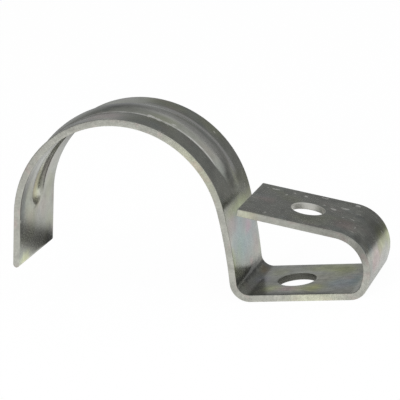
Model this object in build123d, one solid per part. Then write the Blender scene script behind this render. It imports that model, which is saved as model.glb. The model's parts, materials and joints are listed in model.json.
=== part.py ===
from build123d import *
from build123d.topology import SkipClean
from dataclasses import dataclass
import math
import os

# One-lug pipe clip, folded from a single strip of plated steel.
# Sizes are in millimetres and degrees. X runs along the foot, away from the ring, Y runs
# across the strip and Z stands up from the surface that the foot is screwed to.
# The origin is the middle of the foot hole, on the underside of the foot.

# Strip
strip_width = 20.0
sheet_thickness = 1.5
edge_break = 0.2

# Ring that holds the pipe, and the free leg past it
pipe_seat_diameter = 45.0
ring_turn = 163.0
free_leg_length = 11.5

# Leg from the ring down to the foot, slightly bowed
leg_bow_radius = 112.0
leg_turn = 8.0

# Bend radii are measured on the inside of each bend
foot_bend_radius = 2.6
foot_bend_turn = 91.0

# Lug: the foot, and the flap folded back over it until its end stands clear of the leg
foot_length = 21.7
lug_lower_bend_radius = 2.6
lug_lower_bend_turn = 69.0
lug_web_length = 1.1
lug_upper_bend_radius = 7.0
lug_upper_bend_turn = 96.0
flap_end_gap = 2.85

# Screw holes, each placed by its distance from the bend where its flat starts
foot_hole_diameter = 8.2
foot_hole_from_bend = 7.8
flap_hole_diameter = 7.2
flap_hole_from_bend = 8.5
hole_rim_break = 0.2

# Stiffening bead, pressed outward along the middle of the ring
bead_width = 7.8
bead_height = 0.8
bead_from_leg = 3.0
bead_from_free_leg = 1.0
bead_root_round = 0.6

half_sheet = sheet_thickness / 2
seat_radius = pipe_seat_diameter / 2
ring_middle_radius = seat_radius + half_sheet
ring_outer_radius = seat_radius + sheet_thickness
past_everything = 2 * (pipe_seat_diameter + strip_width + foot_length)

# The bead's section is part of a circle and its ends are parts of a ball. Ridge and groove
# share one centre line, and so do the rounds at the ridge's root and the groove's mouth, so the
# sheet keeps its thickness over the bead.
ridge_radius = ((bead_width / 2) ** 2 + bead_height**2) / (2 * bead_height)
groove_radius = ridge_radius - sheet_thickness
bead_line_radius = ring_outer_radius + bead_height - ridge_radius
bead_mouth_round = bead_root_round + sheet_thickness

# The ring turns by this much from the middle of an end ball to its tip, and on to the ring's end
tip_share = (ring_outer_radius**2 + bead_line_radius**2 - ridge_radius**2) / 2
tip_turn = math.degrees(math.acos(tip_share / (ring_outer_radius * bead_line_radius)))
turn_before_bead = tip_turn + math.degrees(bead_from_leg / ring_outer_radius)
turn_after_bead = tip_turn + math.degrees(bead_from_free_leg / ring_outer_radius)


@dataclass
class Stretch:
    """A flat or bent stretch of the strip: length along its middle, and turn to the left."""

    length: float
    turn: float = 0.0

    @property
    def radius(self):
        """Radius of the strip's middle line, positive where it turns left."""
        return self.length / math.radians(self.turn)


def bend(inside_radius, turn):
    middle_radius = inside_radius + half_sheet
    return Stretch(middle_radius * math.radians(abs(turn)), turn)


def along(point, heading, distance):
    return point + Vector(distance, 0).rotate(Axis.Z, heading)


def beside(point, heading, shift):
    return along(point, heading + 90, shift)


def stations(start, heading, stretches):
    """Place and heading of the strip's middle where each stretch starts, and at the end."""
    found = [(start, heading)]
    for stretch in stretches:
        point, heading = found[-1]
        if stretch.turn:
            centre = beside(point, heading, stretch.radius)
            heading += stretch.turn
            point = beside(centre, heading, -stretch.radius)
        else:
            point = along(point, heading, stretch.length)
        found.append((point, heading))
    return found


# The strip is laid out both ways from the joint between the foot and its bend
foot_start = Vector(-foot_hole_from_bend, half_sheet)
ring_stretches = [
    bend(foot_bend_radius, -foot_bend_turn),
    bend(leg_bow_radius, leg_turn),
    bend(seat_radius, turn_before_bead),
    bend(seat_radius, ring_turn - turn_before_bead - turn_after_bead),
    bend(seat_radius, turn_after_bead),
    Stretch(free_leg_length),
]
ring_stations = stations(foot_start, 180, ring_stretches)
ring_start, ring_start_heading = ring_stations[2]
bead_start_angle, bead_end_angle = [heading - 90 for _, heading in ring_stations[3:5]]
lug_bends = [
    Stretch(foot_length),
    bend(lug_lower_bend_radius, lug_lower_bend_turn),
    Stretch(lug_web_length),
    bend(lug_upper_bend_radius, lug_upper_bend_turn),
]
flap_start, flap_heading = stations(foot_start, 0, lug_bends)[-1]
flap_reach = flap_start.X - (ring_start.X + half_sheet + flap_end_gap)
flap_length = flap_reach / -math.cos(math.radians(flap_heading))
lug_stretches = lug_bends + [Stretch(flap_length)]
lug_stations = stations(foot_start, 0, lug_stretches)


def sheet_face(places, stretches, shift):
    """Edges of one face of the sheet, which lies beside its middle line, left if positive."""
    edges = []
    for (point, heading), stretch in zip(places, stretches):
        start = beside(point, heading, shift)
        if stretch.turn:
            tangent = along(Vector(0, 0), heading, 1)
            radius = abs(stretch.radius - shift)
            edges.append(JernArc(start, tangent, radius, stretch.turn))
        else:
            edges.append(Line(start, along(start, heading, stretch.length)))
    return edges


def strip_profile():
    """Side view of the folded strip, with a square flap end and a full-round free end."""
    lug_inside = sheet_face(lug_stations, lug_stretches, half_sheet)
    lug_outside = sheet_face(lug_stations, lug_stretches, -half_sheet)
    ring_inside = sheet_face(ring_stations, ring_stretches, half_sheet)
    ring_outside = sheet_face(ring_stations, ring_stretches, -half_sheet)
    tip, tip_heading = ring_stations[-1]
    ends = [
        Line(lug_inside[-1] @ 1, lug_outside[-1] @ 1),
        ThreePointArc(
            ring_inside[-1] @ 1, along(tip, tip_heading, half_sheet), ring_outside[-1] @ 1
        ),
    ]
    return make_face(lug_inside + lug_outside + ring_inside + ring_outside + ends)


def folded_strip():
    """The plain strip, its cut edges slightly broken."""
    far_side = Plane.XZ.offset(-strip_width / 2)
    strip = extrude(far_side * strip_profile(), strip_width, clean=False)
    side_faces = strip.faces().sort_by(Axis.Y)
    return chamfer(side_faces[0].edges() + side_faces[-1].edges(), edge_break)


ring_centre = beside(ring_start, ring_start_heading, ring_middle_radius)
ring_axis = Axis((ring_centre.X, 0, ring_centre.Y), (0, -1, 0))


def ring_section(angle):
    """Plane across the ring at an angle above +X, its local X pointing out of the ring."""
    outward = Vector(1, 0, 0).rotate(Axis.Y, -angle)
    return Plane(ring_axis.position, x_dir=outward, z_dir=outward.cross(ring_axis.direction))


def bead_form(radius, inner_limit):
    """The bead as a solid of the given section radius, without what lies near the ring's axis."""
    outer_part = Pos(inner_limit + past_everything / 2, 0) * Rectangle(past_everything, past_everything)
    section = (Pos(bead_line_radius, 0) * Circle(radius)) & outer_part
    run = revolve(ring_section(bead_start_angle) * section, ring_axis, bead_end_angle - bead_start_angle)
    ends = [ring_section(angle) * Pos(bead_line_radius, 0) for angle in (bead_start_angle, bead_end_angle)]
    balls = [end * Sphere(radius) for end in ends]
    core = Plane(ring_axis.position, z_dir=ring_axis.direction) * Cylinder(inner_limit, past_everything)
    return run + balls - core


def with_bead(strip):
    """Press the bead: a ridge outside, a groove inside, both blended into the ring."""
    ridge = bead_form(ridge_radius, ring_middle_radius)
    raised = strip + ridge
    raised = fillet(new_edges(strip, ridge, combined=raised), bead_root_round)
    groove = bead_form(groove_radius, seat_radius - half_sheet)
    pressed = raised - groove
    return fillet(new_edges(raised, groove, combined=pressed), bead_mouth_round)


def with_hole(body, station, distance, diameter):
    """Punch a hole square to the flat that starts at the station, its rims slightly broken."""
    point, heading = station
    middle = along(point, heading, distance)
    across = Vector(0, 0, 1).rotate(Axis.Y, -heading)
    punch = Plane((middle.X, 0, middle.Y), z_dir=across) * Cylinder(diameter / 2, 4 * sheet_thickness)
    punched = body - punch
    return chamfer(new_edges(body, punch, combined=punched), hole_rim_break)


def clip_strip():
    """The whole clip. Its faces stay divided at the bead's two ends, so that the ring's seat is
    a land of its own on each side of the groove."""
    with SkipClean():
        body = with_bead(folded_strip())
        body = with_hole(body, lug_stations[0], foot_hole_from_bend, foot_hole_diameter)
        return with_hole(body, lug_stations[-2], flap_hole_from_bend, flap_hole_diameter)


os.makedirs("parts", exist_ok=True)
clip = clip_strip()
export_step(clip, "parts/clip_strip.step")
print("ring axis", ring_axis.position, "bead from", bead_start_angle, "to", bead_end_angle)
print("volume", clip.volume, "solids", len(clip.solids()), "valid", clip.is_valid)
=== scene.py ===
import json
import math

import bmesh
import bpy
from mathutils import Matrix, Vector


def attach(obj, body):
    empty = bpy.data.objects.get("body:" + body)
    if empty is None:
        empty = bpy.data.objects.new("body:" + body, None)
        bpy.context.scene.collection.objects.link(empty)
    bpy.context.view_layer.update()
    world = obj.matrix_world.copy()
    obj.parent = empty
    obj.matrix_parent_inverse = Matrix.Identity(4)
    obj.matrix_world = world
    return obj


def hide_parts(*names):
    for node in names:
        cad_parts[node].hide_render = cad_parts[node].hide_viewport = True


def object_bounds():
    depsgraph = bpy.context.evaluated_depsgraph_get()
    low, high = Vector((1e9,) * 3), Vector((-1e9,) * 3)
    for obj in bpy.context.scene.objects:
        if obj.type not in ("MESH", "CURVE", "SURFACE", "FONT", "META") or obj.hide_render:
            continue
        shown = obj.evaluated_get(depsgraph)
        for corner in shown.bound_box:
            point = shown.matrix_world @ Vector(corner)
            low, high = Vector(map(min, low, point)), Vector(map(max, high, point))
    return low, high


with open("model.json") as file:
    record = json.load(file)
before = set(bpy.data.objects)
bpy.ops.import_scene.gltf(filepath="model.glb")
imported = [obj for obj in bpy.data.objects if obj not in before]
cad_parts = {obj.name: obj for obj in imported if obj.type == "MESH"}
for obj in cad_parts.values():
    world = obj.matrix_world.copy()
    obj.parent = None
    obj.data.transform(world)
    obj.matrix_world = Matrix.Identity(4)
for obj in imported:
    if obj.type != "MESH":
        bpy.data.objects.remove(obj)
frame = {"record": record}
cad_low, cad_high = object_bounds()
mounts = {mount["name"]: mount for mount in frame["record"]["mounts"]}

bl_info = {
    "name": "Pipe clip",
    "version": (1, 0, 0),
    "blender": (4, 5, 0),
    "location": "View3D > Sidebar > Pipe clip",
    "description": "Builds a folded steel pipe clip with its bead, its zinc finish and its studio",
    "category": "Object",
}

# Lengths are in metres. The blank is the strip before it is folded: its X runs along the strip
# from the free end to the flap, and the foot lies in it where it lies on the finished clip.
MM = 0.001
NODE = "clip_strip"
PIECE = "folded_strip"
BLANK_ATTRIBUTE = "blank"


def mount_radius(name):
    return mounts[name]["dims"]["r_mm"] * MM


def length(name, description, default):
    return bpy.props.FloatProperty(
        name=name,
        description=description,
        default=default,
        precision=5,
        unit="LENGTH",
        subtype="DISTANCE",
    )


def angle(name, description, degrees):
    return bpy.props.FloatProperty(
        name=name,
        description=description,
        default=math.radians(degrees),
        unit="ROTATION",
        subtype="ANGLE",
    )


def colour(name, description, default):
    return bpy.props.FloatVectorProperty(
        name=name, description=description, default=default, size=3, min=0, soft_max=1, subtype="COLOR"
    )


def share(name, description, default):
    return bpy.props.FloatProperty(
        name=name, description=description, default=default, min=0, max=1, subtype="FACTOR"
    )


class ClipSizes(bpy.types.PropertyGroup):
    """Sizes of the strip, its folds, holes and bead"""

    strip_width: length("Strip width", "Width of the strip", cad_high.y - cad_low.y)
    thickness: length("Thickness", "Thickness of the sheet", 1.5 * MM)
    edge_round: length("Edge round", "Rounding of the cut edges", 0.14 * MM)
    seat_radius: length("Seat radius", "Radius of the pipe seat", mount_radius("pipe_seat"))
    ring_turn: angle("Ring turn", "How far the ring goes round the pipe", 163)
    free_leg: length("Free leg", "Straight length past the ring", 11.5 * MM)
    bow_radius: length("Leg bow", "Inside radius of the bowed leg", 112 * MM)
    bow_turn: angle("Leg turn", "Turn of the bowed leg", 8)
    foot_bend_radius: length("Foot bend", "Inside radius between the leg and the foot", 2.6 * MM)
    foot_bend_turn: angle("Foot bend turn", "Turn between the leg and the foot", 91)
    foot_length: length("Foot", "Straight length of the foot", 21.7 * MM)
    lower_bend_radius: length("Lower bend", "Inside radius of the lug's lower bend", 2.6 * MM)
    lower_bend_turn: angle("Lower bend turn", "Turn of the lug's lower bend", 69)
    web_length: length("Web", "Straight length between the lug's two bends", 1.1 * MM)
    upper_bend_radius: length("Upper bend", "Inside radius of the lug's upper bend", 7 * MM)
    upper_bend_turn: angle("Upper bend turn", "Turn of the lug's upper bend", 96)
    flap_length: length("Flap", "Straight length of the flap", 21.29 * MM)
    foot_hole_radius: length("Foot hole", "Radius of the foot hole", mount_radius("foot_hole"))
    foot_hole_place: length("Foot hole place", "From the foot's bend to the hole", 7.8 * MM)
    flap_hole_radius: length("Flap hole", "Radius of the flap hole", mount_radius("flap_hole"))
    flap_hole_place: length("Flap hole place", "From the flap's bend to the hole", 8.5 * MM)
    rim_round: length("Hole rims", "Rounding of the holes' rims", 0.2 * MM)
    bead_width: length("Bead width", "Width of the ridge at its root", 7.8 * MM)
    groove_width: length("Groove width", "Width of the groove at its mouth", 6.9 * MM)
    bead_height: length("Bead height", "Height of the ridge", 0.8 * MM)
    bead_from_leg: length("Bead to leg", "From the ridge's tip to the leg", 3.0 * MM)
    bead_from_free_leg: length(
        "Bead to free leg", "From the ridge's tip to the free leg, negative past it", -1.0 * MM
    )
    bead_runout: length("Bead run-out", "How far the bead's end by the leg is drawn out", 3.0 * MM)


class ZincFinish(bpy.types.PropertyGroup):
    """Colours and texture of the zinc plate"""

    base: colour("Zinc", "Colour of the plate", (0.405, 0.41, 0.355))
    cut_edge: colour("Cut edge", "Colour of the sheared edges", (0.50, 0.50, 0.445))
    # This colour serves real scuffs and dings, and also painted highlights on the ridge and painted
    # light on the flap hole's wall
    wear_and_highlight: colour("Worn", "Colour of the plate where it is burnished or scuffed", (0.72, 0.71, 0.66))
    # This colour darkens the foot hole's wall as painted shade
    hole_shade: colour("Punched", "Colour of the foot hole's wall", (0.19, 0.19, 0.166))
    yellow: colour("Yellow tint", "Yellow and green tint, multiplied into the plate", (1.0, 1.03, 0.70))
    pink: colour("Pink tint", "Pink and violet tint, multiplied into the plate", (1.06, 0.86, 0.90))
    blue: colour("Blue tint", "Blue and green tint, multiplied into the plate", (0.76, 0.90, 1.04))
    # This tint darkens the plate as painted shade
    painted_shade: colour("Grey tint", "Dull grey of a thick passivation", (0.36, 0.36, 0.36))
    # This tint lightens the plate as painted light
    pale: colour("Pale tint", "Pale bloom", (1.4, 1.4, 1.4))
    roughness: share("Roughness", "Roughness of the plate", 0.22)
    grain_size: length("Grain", "Size of the plate's grain", 0.35 * MM)


class ClipStage(bpy.types.PropertyGroup):
    """Floor, lights and camera"""

    floor_colour: colour("Floor", "Colour of the floor", (0.9, 0.9, 0.9))
    wall_level: share("Wall level", "Brightness of the dark screen behind", 0.24)
    ceiling_level: share("Ceiling level", "Brightness of the room beside and above", 0.50)
    front_level: share("Front level", "Brightness of the room behind the camera", 1.0)
    window_level: share("Window level", "Brightness of the pale wall behind on the left", 0.45)


def node(tree, kind, inputs=(), **settings):
    """A node with its settings made, and each input filled by a value or by a link."""
    made = tree.nodes.new(kind)
    for name, value in settings.items():
        setattr(made, name, value)
    for key, value in dict(inputs).items():
        if isinstance(value, bpy.types.NodeSocket):
            tree.links.new(value, made.inputs[key])
        else:
            made.inputs[key].default_value = value
    return made


def sum_up(tree, operation, *values, clamp=False):
    """Output of a Math node."""
    made = node(tree, "ShaderNodeMath", dict(enumerate(values)), operation=operation, use_clamp=clamp)
    return made.outputs[0]


def vector_sum(tree, operation, *values):
    """Output of a Vector Math node."""
    made = node(tree, "ShaderNodeVectorMath", dict(enumerate(values)), operation=operation)
    return made.outputs["Value" if operation in ("LENGTH", "DISTANCE", "DOT_PRODUCT") else "Vector"]


def remap(tree, value, low, high, new_low=0.0, new_high=1.0, smooth=False):
    """Output of a Map Range node that stays between its new limits."""
    sockets = {"Value": value, "From Min": low, "From Max": high, "To Min": new_low, "To Max": new_high}
    kind = "SMOOTHSTEP" if smooth else "LINEAR"
    made = node(tree, "ShaderNodeMapRange", sockets, interpolation_type=kind, clamp=True)
    return made.outputs["Result"]


def blended(tree, base, other, factor):
    """A number on its way from one value to another, as far as a factor says."""
    return node(tree, "ShaderNodeMix", {"Factor": factor, "A": base, "B": other}).outputs["Result"]


def distance_from(tree, value, middle):
    return sum_up(tree, "ABSOLUTE", sum_up(tree, "SUBTRACT", value, middle))


VECTOR = "NodeSocketVector"
NUMBER = "NodeSocketFloat"


def empty_group(name, inputs, outputs):
    """A geometry node group with its sockets, each given as a name and a kind."""
    group = bpy.data.node_groups.new(name, "GeometryNodeTree")
    for in_out, sockets in (("INPUT", inputs), ("OUTPUT", outputs)):
        for socket_name, kind in sockets:
            group.interface.new_socket(socket_name, in_out=in_out, socket_type=kind)
    return group, group.nodes.new("NodeGroupInput").outputs, group.nodes.new("NodeGroupOutput").inputs


def bend_group():
    """Bends what lies past a place on the blank, as a folding tool does. Side is 1 for what lies
    towards the flap and -1 for what lies towards the free end. Up is 1 or -1."""
    numbers = ("Place", "Middle height", "Start", "Radius", "Turn", "Side", "Up")
    inputs = [("Position", VECTOR)] + [(name, NUMBER) for name in numbers]
    group, given, result = empty_group("Bend", inputs, [("Position", VECTOR)])
    arc = sum_up(group, "MULTIPLY", given["Radius"], given["Turn"])
    from_start = sum_up(group, "SUBTRACT", given["Place"], given["Start"])
    past = sum_up(group, "MULTIPLY", from_start, given["Side"])
    used = remap(group, past, 0.0, arc, 0.0, arc)
    rise = sum_up(group, "MULTIPLY", given["Radius"], given["Up"])
    centre_height = sum_up(group, "ADD", given["Middle height"], rise)
    centre = node(group, "ShaderNodeCombineXYZ", {0: given["Start"], 2: centre_height}).outputs[0]
    taken_up = sum_up(group, "MULTIPLY", used, given["Side"])
    pulled_back = node(group, "ShaderNodeCombineXYZ", {0: taken_up}).outputs[0]
    moved = vector_sum(group, "SUBTRACT", given["Position"], pulled_back)
    sense = sum_up(group, "MULTIPLY", sum_up(group, "MULTIPLY", given["Side"], given["Up"]), -1.0)
    turned_by = sum_up(group, "MULTIPLY", sum_up(group, "DIVIDE", used, given["Radius"]), sense)
    turned = node(
        group,
        "ShaderNodeVectorRotate",
        {"Vector": moved, "Center": centre, "Angle": turned_by},
        rotation_type="Y_AXIS",
    )
    group.links.new(turned.outputs[0], result["Position"])
    return group


# The section of the bead, as shares of its half width and its height, from the crest to the foot
RIDGE_SECTION = [
    (0.0, 1.0), (0.25, 0.945), (0.5, 0.775), (0.75, 0.485),
    (0.93, 0.215), (0.96, 0.14), (0.98, 0.03), (1.0, 0.0),
]
GROOVE_SECTION = [
    (0.0, 1.0), (0.25, 0.955), (0.5, 0.77), (0.72, 0.46),
    (0.88, 0.16), (0.965, 0.03), (1.0, 0.0),
]

# The same where the bead runs out towards the leg, with no step at its foot, and between which
# places it takes over there, in half widths past the middle of the end
RUN_OUT_SECTION = [(0.0, 1.0), (0.25, 0.91), (0.5, 0.66), (0.75, 0.31), (0.9, 0.09), (1.0, 0.0)]
RUN_OUT_TAKES_OVER = (-0.4, 0.6)


def section_curve(tree, across, section):
    """Height of a section, from 0 to 1, at a share of its half width."""
    curve = node(tree, "ShaderNodeFloatCurve", {"Value": across})
    points = curve.mapping.curves[0].points
    for point, spot in zip((points[0], points[-1]), (section[0], section[-1])):
        point.location = spot
    for spot in section[1:-1]:
        points.new(*spot)
    curve.mapping.update()
    return curve.outputs[0]


def bead_group(name, section):
    """Height of the bead above one face of the sheet: its section swept along the ring and
    turned round at both ends, more softly at the end by the leg."""
    numbers = ("Start", "End", "Stretch", "Half width", "Run-out", "Height")
    inputs = [("Position", VECTOR)] + [(number, NUMBER) for number in numbers]
    group, given, result = empty_group(name, inputs, [("Height", NUMBER)])
    place = node(group, "ShaderNodeSeparateXYZ", {0: given["Position"]}).outputs
    before = sum_up(group, "SUBTRACT", given["Start"], place["X"])
    drawn_out = sum_up(group, "ADD", given["Half width"], given["Run-out"])
    after = sum_up(group, "ADD", sum_up(group, "SUBTRACT", place["X"], given["End"]), given["Run-out"])
    after = sum_up(group, "MULTIPLY", after, sum_up(group, "DIVIDE", given["Half width"], drawn_out))
    past_end = sum_up(group, "MAXIMUM", sum_up(group, "MAXIMUM", before, after), 0.0)
    past_end = sum_up(group, "MULTIPLY", past_end, given["Stretch"])
    offset = node(group, "ShaderNodeCombineXYZ", {0: past_end, 1: place["Y"]}).outputs[0]
    distance = vector_sum(group, "LENGTH", offset)
    across = sum_up(group, "DIVIDE", distance, given["Half width"], clamp=True)
    past_middle = sum_up(group, "DIVIDE", after, given["Half width"])
    softness = remap(group, past_middle, *RUN_OUT_TAKES_OVER, smooth=True)
    firm = section_curve(group, across, section)
    soft = section_curve(group, across, RUN_OUT_SECTION)
    height = sum_up(group, "MULTIPLY", blended(group, firm, soft, softness), given["Height"])
    group.links.new(height, result["Height"])
    return group


# The bends in the order of folding: name, side and up, as the Bend group takes them
BENDS = [
    ("Ring", -1, -1),
    ("Bowed leg", -1, -1),
    ("Foot bend", -1, 1),
    ("Upper bend", 1, 1),
    ("Lower bend", 1, 1),
]


def folding_tree():
    """Presses the bead into the holed blank and folds it, the outermost bend of each side first."""
    geometry = ("Geometry", "NodeSocketGeometry")
    numbers = ["Middle height"]
    numbers += [f"{bend} {what}" for bend, _, _ in BENDS for what in ("start", "radius", "turn")]
    numbers += [f"Bead {what}" for what in ("start", "end", "run-out", "height")]
    numbers += [f"{side} {what}" for side in ("Ridge", "Groove") for what in ("half width", "stretch")]
    inputs = [geometry, ("Finish", "NodeSocketMaterial")] + [(name, NUMBER) for name in numbers]
    tree, given, result = empty_group("Press and fold the blank", inputs, [geometry])
    tree.is_modifier = True
    flat = node(tree, "GeometryNodeInputPosition").outputs[0]
    kept = node(
        tree,
        "GeometryNodeStoreNamedAttribute",
        {"Geometry": given["Geometry"], "Name": BLANK_ATTRIBUTE, "Value": flat},
        data_type="FLOAT_VECTOR",
        domain="POINT",
    ).outputs[0]
    blank = node(
        tree,
        "GeometryNodeInputNamedAttribute",
        {"Name": BLANK_ATTRIBUTE},
        data_type="FLOAT_VECTOR",
    ).outputs[0]
    place = node(tree, "ShaderNodeSeparateXYZ", {0: blank}).outputs
    heights = {}
    for side, section in (("Ridge", RIDGE_SECTION), ("Groove", GROOVE_SECTION)):
        sockets = {
            "Position": blank,
            "Start": given["Bead start"],
            "End": given["Bead end"],
            "Stretch": given[f"{side} stretch"],
            "Half width": given[f"{side} half width"],
            "Run-out": given["Bead run-out"],
            "Height": given["Bead height"],
        }
        pressed = node(tree, "GeometryNodeGroup", node_tree=bead_group(side, section))
        for name, socket in sockets.items():
            tree.links.new(socket, pressed.inputs[name])
        heights[side] = pressed.outputs["Height"]
    is_outer = sum_up(tree, "GREATER_THAN", place["Z"], given["Middle height"])
    lift = blended(tree, heights["Groove"], heights["Ridge"], is_outer)
    position = vector_sum(tree, "ADD", blank, node(tree, "ShaderNodeCombineXYZ", {2: lift}).outputs[0])
    bend = bend_group()
    for name, side, up in BENDS:
        folded = node(tree, "GeometryNodeGroup", node_tree=bend)
        sockets = {
            "Position": position,
            "Place": place["X"],
            "Middle height": given["Middle height"],
            "Start": given[f"{name} start"],
            "Radius": given[f"{name} radius"],
            "Turn": given[f"{name} turn"],
        }
        for socket_name, socket in sockets.items():
            tree.links.new(socket, folded.inputs[socket_name])
        folded.inputs["Side"].default_value = side
        folded.inputs["Up"].default_value = up
        position = folded.outputs["Position"]
    placed = node(tree, "GeometryNodeSetPosition", {"Geometry": kept, "Position": position}).outputs[0]
    real = node(tree, "GeometryNodeRealizeInstances", {"Geometry": placed}).outputs[0]
    plated = {"Geometry": real, "Material": given["Finish"]}
    finished = node(tree, "GeometryNodeSetMaterial", plated).outputs[0]
    tree.links.new(finished, result["Geometry"])
    return tree


def lay_out(sizes):
    """Places along the blank where each stretch starts, and the middle radii of the bends."""
    half = sizes.thickness / 2
    radii = {
        "Ring": sizes.seat_radius + half,
        "Bowed leg": sizes.bow_radius + half,
        "Foot bend": sizes.foot_bend_radius + half,
        "Upper bend": sizes.upper_bend_radius + half,
        "Lower bend": sizes.lower_bend_radius + half,
    }
    turns = {
        "Ring": sizes.ring_turn,
        "Bowed leg": sizes.bow_turn,
        "Foot bend": sizes.foot_bend_turn,
        "Upper bend": sizes.upper_bend_turn,
        "Lower bend": sizes.lower_bend_turn,
    }
    arcs = {name: radii[name] * turns[name] for name in radii}
    starts = {"Foot bend": -sizes.foot_hole_place}
    starts["Bowed leg"] = starts["Foot bend"] - arcs["Foot bend"]
    starts["Ring"] = starts["Bowed leg"] - arcs["Bowed leg"]
    starts["Lower bend"] = starts["Foot bend"] + sizes.foot_length
    starts["Upper bend"] = starts["Lower bend"] + arcs["Lower bend"] + sizes.web_length
    flap_start = starts["Upper bend"] + arcs["Upper bend"]
    ring_end = starts["Ring"] - arcs["Ring"]
    ends = {
        "ring end": ring_end,
        "free end": ring_end - sizes.free_leg - half,
        "flap start": flap_start,
        "flap end": flap_start + sizes.flap_length,
    }
    return {"radii": radii, "turns": turns, "starts": starts, **ends}


def spaced(first, last, step):
    """Evenly spaced places from first up to last, without last."""
    count = max(1, round(abs(last - first) / step))
    return [first + (last - first) * i / count for i in range(count)]


# Spacing of the blank's rows, finer where it is bent or beaded
FLAT_STEP = 0.6 * MM
RING_STEP = 0.36 * MM
TIGHT_STEP = 0.26 * MM
WIDE_BEND_STEP = 0.39 * MM
END_STEPS = 6
# Share of the corner that is left at the flap's very end
LEAST_CORNER = 0.02


def blank_rows(sizes, plan):
    """Rows of the blank from the free end to the flap's end: place, half width, half thickness
    and corner radius of the section there."""
    half_width, half = sizes.strip_width / 2, sizes.thickness / 2
    corner = sizes.edge_round
    rows = []
    for i in range(1, END_STEPS):
        turned = i / END_STEPS * math.pi / 2
        place, reach = plan["free end"] + half * (1 - math.cos(turned)), half * math.sin(turned)
        rows.append((place, half_width, reach, min(corner, reach)))
    starts = plan["starts"]
    stretches = [
        (plan["free end"] + half, plan["ring end"], RING_STEP),
        (plan["ring end"], starts["Ring"], RING_STEP),
        (starts["Ring"], starts["Bowed leg"], FLAT_STEP),
        (starts["Bowed leg"], starts["Foot bend"], TIGHT_STEP),
        (starts["Foot bend"], starts["Lower bend"], FLAT_STEP),
        (starts["Lower bend"], starts["Upper bend"], TIGHT_STEP),
        (starts["Upper bend"], plan["flap start"], WIDE_BEND_STEP),
        (plan["flap start"], plan["flap end"] - corner, FLAT_STEP),
    ]
    for first, last, step in stretches:
        rows += [(place, half_width, half, corner) for place in spaced(first, last, step)]
    for i in range(END_STEPS + 1):
        turned = i / END_STEPS * math.pi / 2
        inset = corner * (1 - math.cos(turned))
        place = plan["flap end"] - corner + corner * math.sin(turned)
        corner_left = max(corner - inset, LEAST_CORNER * corner)
        rows.append((place, half_width - inset, half - inset, corner_left))
    return rows


# Columns of the blank across half the strip, as shares of it: evenly close up to past the bead's
# foot, and wider beside it
CLOSE_COLUMNS = 18
CLOSE_COLUMNS_PER_HALF = 38
WIDE_COLUMNS = [0.5, 0.56, 0.63, 0.7, 0.77, 0.84, 0.9, 0.96, 1.0]
COLUMNS = [i / CLOSE_COLUMNS_PER_HALF for i in range(CLOSE_COLUMNS)] + WIDE_COLUMNS
CORNER_STEPS = 4
SIDE_STEPS = 4


def section_outline(half_width, half, corner):
    """Outline of the blank's section, a rounded rectangle, as (Y, Z) offsets from its middle."""
    flat, upright = half_width - corner, half - corner
    shares = [-c for c in reversed(COLUMNS[1:])] + COLUMNS
    points = []
    for side in (1, -1):
        points += [(side * c * flat, side * half) for c in shares]
        for i in range(1, CORNER_STEPS):
            turned = i / CORNER_STEPS * math.pi / 2
            y, z = flat + corner * math.sin(turned), upright + corner * math.cos(turned)
            points.append((side * y, side * z))
        levels = [1 - 2 * i / SIDE_STEPS for i in range(SIDE_STEPS + 1)]
        points += [(side * half_width, side * upright * level) for level in levels]
        for i in range(1, CORNER_STEPS):
            turned = i / CORNER_STEPS * math.pi / 2
            y, z = flat + corner * math.cos(turned), -upright - corner * math.sin(turned)
            points.append((side * y, side * z))
    return points


def add_object(name, data):
    made = bpy.data.objects.new(name, data)
    bpy.context.scene.collection.objects.link(made)
    return made


def mesh_of(name, build):
    """A mesh filled by a function, with its faces pointing outwards and smooth."""
    work = bmesh.new()
    build(work)
    bmesh.ops.recalc_face_normals(work, faces=work.faces)
    for face in work.faces:
        face.smooth = True
    mesh = bpy.data.meshes.new(name)
    work.to_mesh(mesh)
    work.free()
    return mesh


def flat_blank(sizes, plan):
    """The strip before it is holed, pressed and folded."""
    middle = sizes.thickness / 2

    def build(work):
        loops = []
        for place, half_width, half, corner in blank_rows(sizes, plan):
            outline = section_outline(half_width, half, corner)
            loops.append([work.verts.new((place, y, middle + z)) for y, z in outline])
        for before, after in zip(loops, loops[1:]):
            for i, vert in enumerate(before):
                j = (i + 1) % len(before)
                work.faces.new((vert, before[j], after[j], after[i]))
        work.faces.new(loops[0])
        work.faces.new(loops[-1])

    return mesh_of("blank", build)


PUNCH_SIDES = 96
RIM_STEPS = 5


def holes(sizes, plan):
    """Place along the blank and radius of the foot's hole and of the flap's."""
    flap_hole = plan["flap start"] + sizes.flap_hole_place
    return [(0.0, sizes.foot_hole_radius), (flap_hole, sizes.flap_hole_radius)]


def punch(name, sizes, place, radius):
    """A round punch through the sheet that also rounds both rims of its hole."""
    half, rim = sizes.thickness / 2, sizes.rim_round
    upper = [(radius + rim, half + sizes.thickness)]
    for i in range(RIM_STEPS + 1):
        turned = (1 - i / RIM_STEPS) * math.pi / 2
        upper.append((radius + rim * (1 - math.cos(turned)), half - rim * (1 - math.sin(turned))))
    outline = upper + [(reach, -height) for reach, height in reversed(upper)]

    def build(work):
        rings = []
        for reach, height in outline:
            turns = [math.tau * i / PUNCH_SIDES for i in range(PUNCH_SIDES)]
            spots = [(place + reach * math.cos(t), reach * math.sin(t), half + height) for t in turns]
            rings.append([work.verts.new(spot) for spot in spots])
        for before, after in zip(rings, rings[1:]):
            for i, vert in enumerate(before):
                j = (i + 1) % PUNCH_SIDES
                work.faces.new((vert, before[j], after[j], after[i]))
        work.faces.new(rings[0])
        work.faces.new(rings[-1])

    return add_object(name, mesh_of(name, build))


def set_inputs(modifier, values):
    """Fill a Geometry Nodes modifier's inputs, each found by its name and set by its identifier."""
    sockets = [s for s in modifier.node_group.interface.items_tree if s.item_type == "SOCKET"]
    identifiers = {s.name: s.identifier for s in sockets if s.in_out == "INPUT"}
    for name, value in values.items():
        modifier[identifiers[name]] = value


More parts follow.
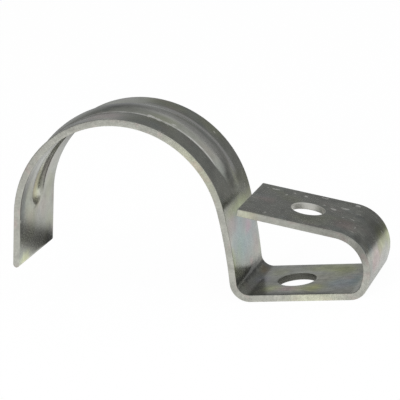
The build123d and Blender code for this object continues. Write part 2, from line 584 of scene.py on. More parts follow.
def bead_ends(sizes, plan):
    """Places on the blank of the middles of the bead's two round ends."""
    outer = sizes.seat_radius + sizes.thickness
    middle = plan["radii"]["Ring"]
    leg_margin = (sizes.bead_from_leg + sizes.bead_width / 2) * middle / outer
    free_margin = (sizes.bead_from_free_leg + sizes.bead_width / 2) * middle / outer
    return plan["ring end"] + free_margin, plan["starts"]["Ring"] - leg_margin


def folding_values(sizes, plan, finish):
    """Values of the folding tree's inputs."""
    middle = plan["radii"]["Ring"]
    start, end = bead_ends(sizes, plan)
    values = {"Finish": finish, "Middle height": sizes.thickness / 2}
    for name, _, _ in BENDS:
        values[f"{name} start"] = plan["starts"][name]
        values[f"{name} radius"] = plan["radii"][name]
        values[f"{name} turn"] = plan["turns"][name]
    values["Bead start"] = start
    values["Bead end"] = end
    values["Bead run-out"] = sizes.bead_runout
    values["Bead height"] = sizes.bead_height
    values["Ridge half width"] = sizes.bead_width / 2
    values["Ridge stretch"] = (middle + sizes.thickness / 2) / middle
    values["Groove half width"] = sizes.groove_width / 2
    values["Groove stretch"] = (middle - sizes.thickness / 2) / middle
    return values


# The blank's two faces, as shares of the sheet's thickness. The outer one becomes the outside of
# the ring and the top of the foot, and the inner one the inside of the ring and the top of the flap.
OUTER = 1.0
INNER = 0.0
# How far a mark reaches into the sheet, as a share of its thickness
MARK_DEPTH = 0.6
# A soft mark is whole out to this share of its reach
SOFT_CORE = 0.15

# Where the passivation has run thin or thick, and where light and shade are painted: the pale
# entries are painted light and the darkening ones painted shade. Each gives the tint, its face,
# its middle and its reach along and across the blank in millimetres, and its strength
STAINS_AND_PAINTED_LIGHT = [
    # The ring by the leg, and the bead's end there. Its pale entries are painted light and its
    # darkening ones painted shade over the bead's end.
    ("yellow", OUTER, (-27.5, 1.0), (2.3, 14.0), 1.0),
    ("pale", OUTER, (-27.6, 1.5), (1.7, 5.5), 0.7),
    ("pale", OUTER, (-33.2, 3.0), (4.6, 1.9), 1.0),
    ("pale", OUTER, (-34.6, 2.9), (3.0, 1.3), 1.0),
    ("painted_shade", OUTER, (-32.4, 0.2), (1.8, 2.4), 0.6),
    ("painted_shade", OUTER, (-35.6, -0.9), (3.6, 2.4), 0.75),
    ("pale", OUTER, (-30.4, 3.0), (2.6, 6.0), 1.0),
    # The leg, with one pale entry of painted light
    ("blue", OUTER, (-21.5, 0.0), (9.0, 13.0), 1.0),
    ("pink", OUTER, (-22.4, 3.0), (3.4, 5.2), 1.0),
    ("pink", OUTER, (-21.6, 3.2), (2.2, 3.0), 1.0),
    ("pale", OUTER, (-22.0, 3.2), (3.2, 4.8), 0.4),
    ("blue", OUTER, (-18.7, -4.0), (4.5, 5.0), 0.6),
    ("yellow", OUTER, (-18.7, -4.5), (4.2, 4.4), 0.4),
    ("pink", OUTER, (-25.0, -6.0), (3.2, 4.4), 0.8),
    ("yellow", OUTER, (-17.5, -9.6), (4.8, 2.6), 0.9),
    ("pink", OUTER, (-17.6, 6.6), (4.8, 3.4), 0.6),
    ("pink", OUTER, (-14.2, 2.2), (1.8, 2.0), 1.0),
    # The foot and its bend. Its darkening entries are painted shade in the bend's inside and along the
    # foot's near edge, and its pale ones painted light.
    ("painted_shade", OUTER, (-12.3, -1.0), (2.2, 17.0), 1.0),
    ("painted_shade", OUTER, (-12.2, 0.0), (1.8, 16.0), 0.9),
    ("painted_shade", OUTER, (-9.4, 3.0), (3.0, 13.0), 0.4),
    ("painted_shade", OUTER, (3.0, -9.8), (14.0, 2.3), 0.85),
    ("pale", OUTER, (3.0, 4.0), (12.0, 7.5), 0.6),
    ("yellow", OUTER, (-5.0, 5.0), (3.0, 4.0), 0.55),
    ("pink", OUTER, (-0.4, -6.0), (3.8, 2.2), 1.0),
    ("yellow", OUTER, (-4.4, -5.6), (2.8, 3.8), 1.0),
    ("pale", OUTER, (1.0, -6.0), (9.0, 3.2), 1.0),
    ("pale", OUTER, (11.5, -3.0), (5.0, 6.0), 0.45),
    ("yellow", OUTER, (4.2, -5.8), (5.0, 3.8), 1.0),
    ("yellow", OUTER, (4.6, -5.6), (3.0, 2.4), 0.6),
    ("yellow", OUTER, (6.0, 7.2), (9.0, 3.8), 1.0),
    ("yellow", OUTER, (9.4, 5.0), (4.4, 4.4), 0.9),
    ("pale", OUTER, (8.5, 9.2), (6.0, 2.8), 0.7),
    ("pale", OUTER, (-3.2, -5.0), (3.6, 3.0), 0.4),
    ("blue", OUTER, (10.6, -3.6), (4.8, 4.8), 0.9),
    ("pink", OUTER, (11.0, -4.6), (3.0, 2.6), 0.5),
    ("blue", OUTER, (-8.0, 0.2), (3.0, 3.6), 0.9),
    ("pink", OUTER, (-7.8, 0.0), (2.8, 3.4), 0.8),
    ("yellow", OUTER, (-9.4, 6.3), (2.2, 3.2), 0.8),
    ("pink", OUTER, (-9.2, 6.3), (2.2, 3.2), 1.0),
    ("blue", OUTER, (13.2, -1.0), (2.2, 5.0), 0.9),
    # The flap, with pale entries of painted light and one darkening entry of painted shade
    ("pale", INNER, (51.0, 0.8), (4.0, 2.4), 0.9),
    ("pink", INNER, (50.0, 0.4), (3.6, 2.6), 0.6),
    ("painted_shade", INNER, (42.0, -4.0), (6.5, 4.5), 0.22),
    ("pale", INNER, (29.6, -5.7), (2.6, 3.4), 0.7),
    ("yellow", INNER, (39.0, -6.0), (6.0, 4.0), 0.4),
    ("pink", INNER, (31.5, -4.5), (3.6, 4.5), 0.75),
    # The upper bend. Its darkening entries are painted shade inside the bend.
    ("painted_shade", INNER, (28.5, 4.0), (2.4, 8.0), 0.4),
    ("painted_shade", INNER, (27.8, -8.2), (1.8, 2.6), 0.6),
    ("painted_shade", INNER, (25.3, 0.0), (2.6, 16.0), 0.55),
    ("painted_shade", INNER, (20.5, -9.0), (4.5, 6.0), 0.35),
    ("painted_shade", INNER, (26.8, 4.0), (2.2, 5.5), 0.45),
    ("painted_shade", INNER, (23.8, 6.0), (2.6, 6.0), 0.35),
    ("yellow", INNER, (24.2, 5.0), (3.2, 7.5), 1.0),
    ("yellow", INNER, (23.0, 9.0), (4.0, 3.0), 0.9),
    ("pink", INNER, (22.0, -3.0), (3.4, 6.5), 1.0),
    ("yellow", INNER, (22.8, 0.6), (1.8, 2.6), 0.8),
    ("pink", INNER, (21.2, -6.0), (2.2, 2.8), 0.7),
    ("blue", INNER, (24.6, -6.0), (1.4, 2.6), 0.6),
    # The top of the ring. Its darkening entries are painted shade over the ridge and along the near
    # edge.
    ("painted_shade", OUTER, (-67.0, -8.6), (5.0, 2.6), 0.6),
    ("painted_shade", OUTER, (-57.5, -8.6), (5.0, 2.4), 0.25),
    ("pink", OUTER, (-64.0, -6.5), (6.0, 4.0), 0.7),
    ("painted_shade", OUTER, (-63.0, 0.2), (8.5, 4.6), 1.0),
    ("yellow", OUTER, (-55.0, 8.0), (8.0, 3.5), 0.55),
    ("yellow", OUTER, (-44.0, 8.5), (6.0, 3.5), 0.45),
    # The groove. Its pale entries are painted highlights and its darkening ones painted shade along the
    # groove's walls.
    ("yellow", INNER, (-90.5, -0.5), (7.0, 3.4), 1.0),
    ("pink", INNER, (-90.0, -0.9), (6.0, 2.8), 0.7),
    ("pale", INNER, (-87.0, 1.7), (10.0, 0.9), 1.0),
    ("painted_shade", INNER, (-87.0, 2.9), (10.0, 1.0), 0.3),
    ("painted_shade", INNER, (-88.3, 0.2), (3.0, 1.1), 0.3),
    ("pale", INNER, (-93.9, 1.2), (3.0, 2.1), 1.0),
    ("painted_shade", INNER, (-88.0, -3.5), (9.0, 0.9), 0.7),
    ("painted_shade", INNER, (-95.8, -0.8), (1.0, 2.4), 0.5),
    # The free leg. Its darkening entries are painted shade, among them the dark band at the far corner
    # of its end, and the pale and yellow patch at the near corner of its end is a painted reflection.
    ("painted_shade", INNER, (-93.0, -9.0), (10.0, 3.2), 0.75),
    ("pink", INNER, (-97.0, 2.5), (4.5, 5.0), 0.35),
    ("pale", INNER, (-106.8, -7.5), (3.6, 6.0), 1.0),
    ("pale", INNER, (-106.2, -7.4), (2.8, 4.4), 0.8),
    ("yellow", INNER, (-106.2, -7.0), (2.8, 4.5), 0.8),
    ("painted_shade", INNER, (-86.0, -8.0), (9.0, 3.5), 0.6),
    ("painted_shade", INNER, (-106.0, 7.0), (3.6, 4.0), 0.9),
    ("painted_shade", INNER, (-103.4, 5.0), (2.8, 7.0), 0.35),
]

# Where the flap and the ring were struck: the face, the middle and the reach as above, and how
# thickly the dings lie there
STRUCK = [
    (INNER, (34.5, 5.0), (5.5, 2.6), 0.4),
    (INNER, (36.0, 3.0), (1.3, 0.9), 1.0),
    (INNER, (33.6, 5.0), (1.3, 0.8), 1.0),
    (INNER, (31.6, 8.2), (0.7, 1.2), 1.0),
    (INNER, (39.0, 9.0), (1.2, 0.6), 0.9),
    (INNER, (43.0, 7.2), (0.9, 0.4), 0.9),
    (INNER, (46.8, 5.4), (0.4, 0.9), 1.0),
    (INNER, (49.8, 7.8), (1.2, 0.7), 0.9),
    (INNER, (48.0, -8.1), (0.7, 0.7), 0.9),
    (INNER, (44.0, 8.0), (9.0, 2.4), 0.35),
    (INNER, (32.5, 3.0), (4.0, 5.0), 0.4),
    (INNER, (30.0, -2.0), (2.6, 4.0), 0.3),
    (OUTER, (-50.0, -3.8), (7.0, 0.9), 0.6),
]

# The shear's tone along the strip, with painted light and shade: the yellow entries are a tint, the
# pale ones painted light, and the darkening ones painted shade on the cut edges of the flap and the
# upper bend. Each gives the tint, its middle and its reach along X, and its strength
SHEAR_TINTS_AND_LIGHT = [
    ("pale", 4.0, 12.0, 0.45),
    ("pale", 7.0, 8.0, 0.4),
    ("yellow", 6.0, 9.0, 0.35),
    ("pale", -42.0, 9.0, 0.3),
    ("yellow", -40.0, 12.0, 0.35),
    ("pale", 51.8, 4.0, 0.5),
    ("yellow", 51.0, 3.6, 0.4),
    ("painted_shade", 42.0, 14.0, 0.2),
    ("painted_shade", 31.0, 10.0, 0.5),
    ("painted_shade", 25.3, 3.6, 0.5),
]

# Tints that come and go all over the plate: the size of their patches in millimetres, between
# which values of a noise they set in, and their strength
CLOUDED_TINTS = [
    ("yellow", 9.0, 0.52, 0.68, 0.30),
    ("pink", 7.0, 0.55, 0.70, 0.30),
    ("blue", 6.0, 0.55, 0.72, 0.25),
]
# The outlines of the stains and of the painted light and shade wander by this much, in waves of this
# size
WANDER_REACH = 2.4 * MM
WANDER_SIZE = 1.6 * MM

# Painted highlights on the ridge, bands of the pale plate colour along its crest and its far foot,
# in millimetres: the middle of each across the strip, the half widths of its soft edge and its
# core, its strength, and between which places along the strip it sets in from the leg. Both are
# gone between the two places that follow.
RIDGE_HIGHLIGHTS = [
    (-0.7, 1.9, 0.5, 0.75, -33.5, -42.0),
    (4.2, 1.3, 0.6, 1.0, -32.5, -35.0),
]
RIDGE_HIGHLIGHTS_GONE = (-60.0 * MM, -53.0 * MM)

# The painted highlight, a bright line at the ridge's foot: how far in it lies, the half widths of
# its edge and its core, how far before the bead's ends it fades, and the size of its breaks
FOOT_LINE_INSET = 0.08 * MM
FOOT_LINE_EDGE = 0.24 * MM
FOOT_LINE_CORE = 0.08 * MM
FOOT_LINE_FADE = 4 * MM
FOOT_LINE_BREAKS = 1.4 * MM

# Sizes of the plate's patterns, and how each is stretched along and across the strip and through
# the sheet: a factor below 1 draws the pattern out
CLOUD_SIZE = 3.5 * MM
ROLLED_SIZE, ROLLED_STRETCH = 0.22 * MM, (0.06, 1.0, 1.0)
BLOTCH_SIZE = 1.2 * MM
DRAWN_SIZE, DRAWN_STRETCH = 0.6 * MM, (0.25, 1.0, 1.0)
SCUFF_SIZE, SCUFF_STRETCH = 0.9 * MM, (0.6, 1.0, 1.0)
STRAY_SCUFF_AREA = 6.0 * MM
TORN_SIZE, TORN_STRETCH = 0.26 * MM, (1.0, 1.0, 0.6)
SHEAR_PATCH_SIZE = 1.8 * MM
BLUSH_SIZE = 2.6 * MM

# The unevenness of the lug sets in between these places along the strip
LUG_SETS_IN = (-12.0 * MM, -6.0 * MM)
# A hole's wall shows its own colour, painted shade in the foot hole and painted light in the flap hole,
# from the first distance outside its radius to the second
WALL_FADE = (0.12 * MM, 0.04 * MM)
# How much more easily a struck place dings, and between which values of the noise a ding sets in
STRUCK_LIFT = 0.22
DING_SETS_IN = (0.70, 0.76)
DING_WEAR = 0.9

# Roughness where it isn't the plate's own, and how much each pattern stands out of the surface
CUT_ROUGHNESS = 0.42
WALL_ROUGHNESS = 0.55
DING_ROUGHNESS = 0.6
GRAIN_RELIEF = 0.4
ROLLED_RELIEF = 0.5
DING_RELIEF = 0.8
TORN_RELIEF = 2.5
RELIEF_STRENGTH = 0.12
RELIEF_HEIGHT = 0.02 * MM


def multiplied(tree, base, tint, factor):
    """A colour multiplied by a tint, as far as a factor says."""
    sockets = {"Factor": factor, "A": base, "B": tint}
    made = node(tree, "ShaderNodeMix", sockets, data_type="RGBA", blend_type="MULTIPLY")
    return made.outputs["Result"]


def mixed(tree, base, other, factor):
    """A colour on its way to another, as far as a factor says."""
    sockets = {"Factor": factor, "A": base, "B": other}
    return node(tree, "ShaderNodeMix", sockets, data_type="RGBA").outputs["Result"]


def noise(tree, vector, size, detail=2.0, roughness=0.5):
    """Noise from 0 to 1 with features of about the given size."""
    sockets = {"Vector": vector, "Scale": 1 / size, "Detail": detail, "Roughness": roughness}
    return node(tree, "ShaderNodeTexNoise", sockets).outputs["Fac"]


def stretched(tree, vector, factors):
    return vector_sum(tree, "MULTIPLY", vector, factors)


def varied(tree, pattern, low, high):
    """A factor between two values that follows the middle part of a noise's range."""
    return remap(tree, pattern, 0.3, 0.7, low, high)


def tint_colours(finish):
    return {name: (*getattr(finish, name), 1.0) for name in ("yellow", "pink", "blue", "painted_shade", "pale")}


def mark_distance(tree, position, thickness, face, middle, reach):
    """Distance from the middle of a mark on one face, 1 at its reach."""
    centre = (middle[0] * MM, middle[1] * MM, face * thickness)
    extent = (reach[0] * MM, reach[1] * MM, MARK_DEPTH * thickness)
    offset = vector_sum(tree, "SUBTRACT", position, centre)
    return vector_sum(tree, "LENGTH", vector_sum(tree, "DIVIDE", offset, extent))


def with_stains_and_painted_light(tree, base, blank, finish, thickness):
    """The plate's colour with soft tints, some all over and some in known places, and with painted
    light and shade in known places.
    """
    tints = tint_colours(finish)
    waves = {"Vector": blank, "Scale": 1 / WANDER_SIZE, "Detail": 3.0}
    wander = node(tree, "ShaderNodeTexNoise", waves).outputs["Color"]
    wander = vector_sum(tree, "SUBTRACT", wander, (0.5, 0.5, 0.5))
    wander = stretched(tree, wander, (WANDER_REACH, WANDER_REACH, 0.0))
    warped = vector_sum(tree, "ADD", blank, wander)
    for tint, size, low, high, strength in CLOUDED_TINTS:
        # Each tint looks at another part of the noise, so that their patches differ
        offset = vector_sum(tree, "ADD", blank, (size, 0.0, size))
        patches = noise(tree, offset, size * MM, 1.0)
        field = remap(tree, patches, low, high, 0.0, strength, smooth=True)
        base = multiplied(tree, base, tints[tint], field)
    # Stains, and painted light and shade, in known places
    for tint, face, middle, reach, strength in STAINS_AND_PAINTED_LIGHT:
        distance = mark_distance(tree, warped, thickness, face, middle, reach)
        fade = remap(tree, distance, 1.0, SOFT_CORE, 0.0, strength, smooth=True)
        base = multiplied(tree, base, tints[tint], fade)
    return base


def plate_tone(tree, blank, along, grain, rolled):
    """How brightly the plate reflects: clouds, grain and the lines from rolling, and on the lug
    small blotches and drawn streaks too."""
    cloud = noise(tree, blank, CLOUD_SIZE, 4.0, 0.6)
    tone = sum_up(tree, "MULTIPLY", varied(tree, cloud, 0.85, 1.15), varied(tree, grain, 0.95, 1.05))
    tone = sum_up(tree, "MULTIPLY", tone, varied(tree, rolled, 0.95, 1.05))
    blotches = noise(tree, blank, BLOTCH_SIZE, 3.0, 0.6)
    drawn = noise(tree, stretched(tree, blank, DRAWN_STRETCH), DRAWN_SIZE, 3.0, 0.6)
    blotches, drawn = varied(tree, blotches, 0.84, 1.16), varied(tree, drawn, 0.84, 1.16)
    uneven = sum_up(tree, "MULTIPLY", blotches, drawn)
    on_lug = remap(tree, along, *LUG_SETS_IN)
    return sum_up(tree, "MULTIPLY", tone, blended(tree, 1.0, uneven, on_lug))


def with_painted_walls(tree, plate, blank, wall_colours, sizes, plan):
    """The plate with the walls of the holes in their own colours, painted shade on the foot hole's wall
    and painted light on the flap hole's, and a mask of those walls.
    """
    walls = 0.0
    for (place, radius), wall_colour in zip(holes(sizes, plan), wall_colours):
        offset = vector_sum(tree, "SUBTRACT", blank, (place, 0.0, 0.0))
        from_axis = vector_sum(tree, "LENGTH", stretched(tree, offset, (1.0, 1.0, 0.0)))
        on_wall = remap(tree, from_axis, *(radius + fade for fade in WALL_FADE))
        plate = mixed(tree, plate, wall_colour, on_wall)
        walls = sum_up(tree, "MAXIMUM", on_wall, walls)
    return plate, walls


def ding_mask(tree, blank, thickness):
    """Small dings and scuffs: the crests of a noise, few in most places and more where the strip
    was struck."""
    scuffs = noise(tree, stretched(tree, blank, SCUFF_STRETCH), SCUFF_SIZE, 2.0, 0.6)
    struck = remap(tree, noise(tree, blank, STRAY_SCUFF_AREA, 1.0), 0.58, 0.68, 0.0, 0.1)
    for face, middle, reach, strength in STRUCK:
        distance = mark_distance(tree, blank, thickness, face, middle, reach)
        near = remap(tree, distance, 1.0, 0.6, 0.0, strength)
        struck = sum_up(tree, "MAXIMUM", struck, near)
    return remap(tree, sum_up(tree, "MULTIPLY_ADD", struck, STRUCK_LIFT, scuffs), *DING_SETS_IN)


def highlighted(tree, plate, wear_and_highlight, place, outside):
    """The plate with painted highlights along the ridge's crest and its far foot, less towards the free
    leg.
    """
    pressed = sum_up(tree, "MULTIPLY", remap(tree, place["X"], *RIDGE_HIGHLIGHTS_GONE), outside)
    for middle, edge, core, strength, last, full in RIDGE_HIGHLIGHTS:
        beside = distance_from(tree, place["Y"], middle * MM)
        highlight = remap(tree, beside, edge * MM, core * MM, 0.0, strength, smooth=True)
        highlight = sum_up(tree, "MULTIPLY", highlight, remap(tree, place["X"], last * MM, full * MM))
        plate = mixed(tree, plate, wear_and_highlight, sum_up(tree, "MULTIPLY", highlight, pressed))
    return plate


def painted_foot_highlight(tree, blank, place, outside, sizes, plan):
    """A painted highlight: a bright line along the foot of the ridge."""
    start, end = bead_ends(sizes, plan)
    half_run = (end - start) / 2
    from_middle = distance_from(tree, place["X"], (start + end) / 2)
    run = remap(tree, from_middle, half_run, half_run - FOOT_LINE_FADE)
    from_centre_line = sum_up(tree, "ABSOLUTE", place["Y"])
    from_line = distance_from(tree, from_centre_line, sizes.bead_width / 2 - FOOT_LINE_INSET)
    line = sum_up(tree, "MULTIPLY", remap(tree, from_line, FOOT_LINE_EDGE, FOOT_LINE_CORE), run)
    line = sum_up(tree, "MULTIPLY", line, outside)
    breaks = remap(tree, noise(tree, blank, FOOT_LINE_BREAKS, 2.0), 0.35, 0.6, 0.35, 1.0)
    return sum_up(tree, "MULTIPLY", line, breaks)


def sheared(tree, blank, along, torn, finish):
    """Colour of the cut edges: streaks through the sheet, patches and tints along the strip, and
    painted light and shade along it.
    """
    tints = tint_colours(finish)
    patches = noise(tree, blank, SHEAR_PATCH_SIZE, 3.0, 0.6)
    tone = sum_up(tree, "MULTIPLY", varied(tree, torn, 0.84, 1.14), varied(tree, patches, 0.86, 1.1))
    cut = multiplied(tree, (*finish.cut_edge, 1.0), tone, 1.0)
    elsewhere = vector_sum(tree, "ADD", blank, (0.3, 0.1, 0.7))
    blush = remap(tree, noise(tree, elsewhere, BLUSH_SIZE, 2.0), 0.56, 0.7, 0.0, 0.45)
    cut = multiplied(tree, cut, tints["pink"], blush)
    for tint, middle, reach, strength in SHEAR_TINTS_AND_LIGHT:
        beside = distance_from(tree, along, middle * MM)
        fade = remap(tree, beside, reach * MM, SOFT_CORE * reach * MM, 0.0, strength, smooth=True)
        cut = multiplied(tree, cut, tints[tint], fade)
    return cut


def zinc_plate(finish, sizes):
    """Bright zinc plate: rolled grain, passivation tints, painted light and shade, sheared edges and
    small dings.
    """
    material = bpy.data.materials.new("zinc plate")
    material.use_nodes = True
    tree = material.node_tree
    plan = lay_out(sizes)
    thickness, half_width, edge_round = sizes.thickness, sizes.strip_width / 2, sizes.edge_round
    wear_and_highlight, hole_shade = (*finish.wear_and_highlight, 1.0), (*finish.hole_shade, 1.0)

    blank = node(tree, "ShaderNodeAttribute", attribute_name=BLANK_ATTRIBUTE).outputs["Vector"]
    place = node(tree, "ShaderNodeSeparateXYZ", {0: blank}).outputs
    outside = remap(tree, place["Z"], 0.6 * thickness, 0.9 * thickness)
    from_centre_line = sum_up(tree, "ABSOLUTE", place["Y"])
    edge_starts, edge_full = half_width - 0.5 * edge_round, half_width - 0.1 * edge_round
    edge = remap(tree, from_centre_line, edge_starts, edge_full)
    grain = noise(tree, blank, finish.grain_size, 3.0, 0.6)
    rolled = noise(tree, stretched(tree, blank, ROLLED_STRETCH), ROLLED_SIZE, 2.0)
    torn = noise(tree, stretched(tree, blank, TORN_STRETCH), TORN_SIZE, 4.0, 0.7)
    ding = ding_mask(tree, blank, thickness)

    tone = plate_tone(tree, blank, place["X"], grain, rolled)
    plate = multiplied(tree, (*finish.base, 1.0), tone, 1.0)
    plate = with_stains_and_painted_light(tree, plate, blank, finish, thickness)
    # The holes' walls: painted shade on the foot hole's, painted light on the flap hole's
    plate, walls = with_painted_walls(tree, plate, blank, (hole_shade, wear_and_highlight), sizes, plan)
    plate = mixed(tree, plate, wear_and_highlight, sum_up(tree, "MULTIPLY", ding, DING_WEAR))
    # Painted highlights along the ridge's crest and far foot
    plate = highlighted(tree, plate, wear_and_highlight, place, outside)
    # Painted highlight along the ridge's foot
    plate = mixed(tree, plate, wear_and_highlight, painted_foot_highlight(tree, blank, place, outside, sizes, plan))
    colour_out = mixed(tree, plate, sheared(tree, blank, place["X"], torn, finish), edge)

    rough = varied(tree, grain, finish.roughness - 0.05, finish.roughness + 0.08)
    for mask, value in ((edge, CUT_ROUGHNESS), (walls, WALL_ROUGHNESS), (ding, DING_ROUGHNESS)):
        rough = blended(tree, rough, value, mask)

    lines = sum_up(tree, "MULTIPLY", rolled, ROLLED_RELIEF)
    relief = sum_up(tree, "ADD", sum_up(tree, "MULTIPLY", grain, GRAIN_RELIEF), lines)
    relief = sum_up(tree, "SUBTRACT", relief, sum_up(tree, "MULTIPLY", ding, DING_RELIEF))
    relief = blended(tree, relief, sum_up(tree, "MULTIPLY", torn, TORN_RELIEF), edge)
    bumps = {"Strength": RELIEF_STRENGTH, "Distance": RELIEF_HEIGHT, "Height": relief}
    bump = node(tree, "ShaderNodeBump", bumps).outputs[0]

    shader = tree.nodes["Principled BSDF"]
    shader.inputs["Metallic"].default_value = 1.0
    for name, socket in (("Base Color", colour_out), ("Roughness", rough), ("Normal", bump)):
        tree.links.new(socket, shader.inputs[name])
    return material


def plain_material(name, colour_value, roughness):
    material = bpy.data.materials.new(name)
    material.use_nodes = True
    shader = material.node_tree.nodes["Principled BSDF"]
    shader.inputs["Base Color"].default_value = (*colour_value, 1.0)
    shader.inputs["Roughness"].default_value = roughness
    return material


def fold_strip(sizes, finish):
    """The folded strip as one plain mesh."""
    plan = lay_out(sizes)
    work = add_object("blank", flat_blank(sizes, plan))
    names = ("foot_punch", "flap_punch")
    punches = [punch(name, sizes, *hole) for name, hole in zip(names, holes(sizes, plan))]
    for tool in punches:
        cut = work.modifiers.new(tool.name, "BOOLEAN")
        cut.operation = "DIFFERENCE"
        cut.solver = "EXACT"
        cut.object = tool
    fold = work.modifiers.new("fold", "NODES")
    fold.node_group = folding_tree()
    set_inputs(fold, folding_values(sizes, plan, finish))
    soften = work.modifiers.new("soften", "WEIGHTED_NORMAL")
    soften.mode = "FACE_AREA"
    soften.keep_sharp = False
    graph = bpy.context.evaluated_depsgraph_get()
    mesh = bpy.data.meshes.new_from_object(work.evaluated_get(graph), depsgraph=graph)
    mesh.name = PIECE
    for spent in [work] + punches:
        bpy.data.objects.remove(spent)
    return add_object(PIECE, mesh)


class CLIP_OT_strip(bpy.types.Operator):
    """Punch, press and fold the strip, and plate it with zinc"""

    bl_idname = "clip.strip"
    bl_label = "Folded strip"

    def execute(self, context):
        sizes = context.scene.clip_sizes
        piece = fold_strip(sizes, zinc_plate(context.scene.clip_finish, sizes))
        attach(piece, "root")
        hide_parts(NODE)
        return {"FINISHED"}


# The camera stands and looks as the photograph's edges tell, its picture turned slightly
CAMERA_PLACE = (0.113548, -0.379086, 0.128019)
CAMERA_RIGHT = (0.94681, 0.29718, -0.12342)
CAMERA_DOWN = (-0.03522, -0.28553, -0.95772)
CAMERA_FORWARD = (-0.31986, 0.91113, -0.25988)
FOCAL_PIXELS = 1942.5
PICTURE_PIXELS = 400
SENSOR = 36.0


def add_camera():
    data = bpy.data.cameras.new("camera")
    data.sensor_width = SENSOR
    data.lens = FOCAL_PIXELS / PICTURE_PIXELS * SENSOR
    data.clip_start, data.clip_end = 0.01, 20.0
    camera = add_object("camera", data)
    columns = [Vector(CAMERA_RIGHT), -Vector(CAMERA_DOWN), -Vector(CAMERA_FORWARD)]
    turn = Matrix(columns).transposed()
    camera.matrix_world = Matrix.Translation(CAMERA_PLACE) @ turn.to_4x4()
    bpy.context.scene.camera = camera


def add_softbox(name, place, target, size, power):
    data = bpy.data.lights.new(name, "AREA")
    data.shape = "RECTANGLE"
    data.size, data.size_y = size
    data.energy = power
    lamp = add_object(name, data)
    lamp.visible_glossy = False
    lamp.location = place
    lamp.rotation_euler = (Vector(target) - Vector(place)).to_track_quat("-Z", "Y").to_euler()


FLOOR_REACH = 3.0
FLOOR_LEVEL = 0.0
FLOOR_ROUGHNESS = 0.6
# The lit part of the floor, as the metal reflects it, lies round the clip and towards the camera
SHEET_MIDDLE = (0.03, -0.22, 0.0)
SHEET_FADE = (0.27, 0.34)
# How much of the floor is plain white to the camera, and in the metal where it is lit. The rest
# takes the shadow.
CAMERA_WHITE = 0.97
MIRRORED_WHITE = 0.35
# Painted shade: a dark patch lies on the floor behind the free leg, seen only in the metal
SHADE_PATCH_MIDDLE = (-0.055, 0.0285)
SHADE_PATCH_HALF = (0.028, 0.0085)
SHADE_PATCH_EDGE = 0.003
SHADE_PATCH_LEVEL = 0.12


def add_floor(stage):
    """The floor, and what the camera and the metal see of it."""
    mesh = bpy.data.meshes.new("floor")
    corners = [(x * FLOOR_REACH, y * FLOOR_REACH) for x, y in ((-1, -1), (1, -1), (1, 1), (-1, 1))]
    mesh.from_pydata([(x, y, FLOOR_LEVEL) for x, y in corners], [], [(0, 1, 2, 3)])
    floor = add_object("floor", mesh)
    material = plain_material("floor", stage.floor_colour, FLOOR_ROUGHNESS)
    tree = material.node_tree
    shader = tree.nodes["Principled BSDF"]
    shader.inputs["Specular IOR Level"].default_value = 0.0
    rays = node(tree, "ShaderNodeLightPath").outputs
    mirrored = sum_up(tree, "MAXIMUM", rays["Is Glossy Ray"], rays["Is Transmission Ray"])
    white = node(tree, "ShaderNodeEmission", {"Color": (1, 1, 1, 1), "Strength": 1.0}).outputs[0]
    place = node(tree, "ShaderNodeTexCoord").outputs["Object"]
    distance = vector_sum(tree, "DISTANCE", place, SHEET_MIDDLE)
    near = remap(tree, distance, *SHEET_FADE, 1.0, 0.0, smooth=True)
    spot = node(tree, "ShaderNodeSeparateXYZ", {0: place}).outputs
    shade_patch = 1.0
    for axis, middle, half in zip("XY", SHADE_PATCH_MIDDLE, SHADE_PATCH_HALF):
        beside = distance_from(tree, spot[axis], middle)
        shade_patch = sum_up(tree, "MULTIPLY", remap(tree, beside, half + SHADE_PATCH_EDGE, half - SHADE_PATCH_EDGE), shade_patch)
    level = remap(tree, near, 0.0, 1.0, stage.wall_level, 1.0)
    # The floor's painted shade behind the free leg, as the metal sees it
    level = blended(tree, level, SHADE_PATCH_LEVEL, shade_patch)
    reflected = node(tree, "ShaderNodeEmission", {"Color": (1, 1, 1, 1), "Strength": level}).outputs[0]
    shown = {0: rays["Is Camera Ray"], 1: reflected, 2: white}
    seen = node(tree, "ShaderNodeMixShader", shown).outputs[0]
    dimmed = remap(tree, distance, *SHEET_FADE, MIRRORED_WHITE, 1.0, smooth=True)
    share_mirrored = sum_up(tree, "MULTIPLY", mirrored, sum_up(tree, "MAXIMUM", dimmed, shade_patch))
    share_camera = sum_up(tree, "MULTIPLY", rays["Is Camera Ray"], CAMERA_WHITE)
    share_seen = sum_up(tree, "ADD", share_mirrored, share_camera)
    whole = {0: share_seen, 1: shader.outputs[0], 2: seen}
    surface = node(tree, "ShaderNodeMixShader", whole).outputs[0]
    tree.links.new(surface, tree.nodes["Material Output"].inputs["Surface"])
    mesh.materials.append(material)


# A dark screen stands behind the clip, so that its faces read dark. The room beside and above it
# is paler, more so on the right. Each screen is a direction and the cosines that it fades between.
SCREENS = [
    ((0.253, 0.945, 0.208), 0.875, 0.93),
    ((-0.05, 0.9, 0.42), 0.955, 0.985),
    ((-0.62, 0.65, 0.43), 0.92, 0.975),
]
WINDOW = ((-0.5, 0.86, 0.02), 0.88, 0.97)
FRONT = ((0.2, -0.75, 0.63), 0.75, 0.95)
ROOM_SLOPE = 0.55
ROOM_TINT = (0.985, 1.0, 1.035, 1.0)


def patch(tree, direction, middle, outer, inner):
    """How far a direction lies inside a round patch of the room, from 0 to 1."""
    cosine = vector_sum(tree, "DOT_PRODUCT", direction, Vector(middle).normalized())
    return remap(tree, cosine, outer, inner, smooth=True)


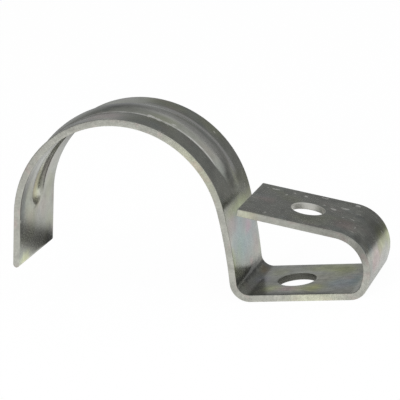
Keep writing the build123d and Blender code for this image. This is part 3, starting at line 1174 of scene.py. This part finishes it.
def set_world(stage):
    """The room that the metal reflects, in greys."""
    world = bpy.data.worlds.new("studio")
    world.use_nodes = True
    tree = world.node_tree
    direction = node(tree, "ShaderNodeTexCoord").outputs["Generated"]
    across = node(tree, "ShaderNodeSeparateXYZ", {0: direction}).outputs["X"]
    slope = sum_up(tree, "MULTIPLY_ADD", across, ROOM_SLOPE, 1.0)
    level = sum_up(tree, "MULTIPLY", slope, stage.ceiling_level)
    for screen in SCREENS:
        level = blended(tree, level, stage.wall_level, patch(tree, direction, *screen))
    for light, brightness in ((WINDOW, stage.window_level), (FRONT, stage.front_level)):
        level = blended(tree, level, brightness, patch(tree, direction, *light))
    tinted = multiplied(tree, level, ROOM_TINT, 1.0)
    tree.links.new(tinted, tree.nodes["Background"].inputs["Color"])
    bpy.context.scene.world = world


# Soft lights: name, place, what it points at, size and power
SOFTBOXES = [
    ("key", (0.08, -0.48, 0.64), (0.0, 0.0, 0.02), (1.3, 1.1), 4.5),
    ("low", (-0.27, -1.02, 0.29), (-0.03, 0.0, 0.01), (0.22, 0.22), 8.0),
]


class CLIP_OT_stage(bpy.types.Operator):
    """Add the floor, the soft lights and the camera"""

    bl_idname = "clip.stage"
    bl_label = "Studio"

    def execute(self, context):
        stage = context.scene.clip_stage
        add_floor(stage)
        set_world(stage)
        for softbox in SOFTBOXES:
            add_softbox(*softbox)
        add_camera()
        context.scene.view_settings.view_transform = "Standard"
        return {"FINISHED"}


class CLIP_PT_panel(bpy.types.Panel):
    """Sizes, finish and buttons of the pipe clip"""

    bl_label = "Pipe clip"
    bl_idname = "CLIP_PT_panel"
    bl_space_type = "VIEW_3D"
    bl_region_type = "UI"
    bl_category = "Pipe clip"

    def draw(self, context):
        for operator in OPERATORS:
            self.layout.operator(operator.bl_idname)
        for group in (context.scene.clip_sizes, context.scene.clip_finish, context.scene.clip_stage):
            box = self.layout.box()
            for name in group.__annotations__:
                box.prop(group, name)


OPERATORS = (CLIP_OT_strip, CLIP_OT_stage)
CLASSES = (ClipSizes, ZincFinish, ClipStage, *OPERATORS, CLIP_PT_panel)


def register():
    for kind in CLASSES:
        bpy.utils.register_class(kind)
    bpy.types.Scene.clip_sizes = bpy.props.PointerProperty(type=ClipSizes)
    bpy.types.Scene.clip_finish = bpy.props.PointerProperty(type=ZincFinish)
    bpy.types.Scene.clip_stage = bpy.props.PointerProperty(type=ClipStage)


def unregister():
    del bpy.types.Scene.clip_sizes
    del bpy.types.Scene.clip_finish
    del bpy.types.Scene.clip_stage
    for kind in reversed(CLASSES):
        bpy.utils.unregister_class(kind)


def main():
    register()
    bpy.ops.clip.strip()
    bpy.ops.clip.stage()


if __name__ == "__main__":
    main()
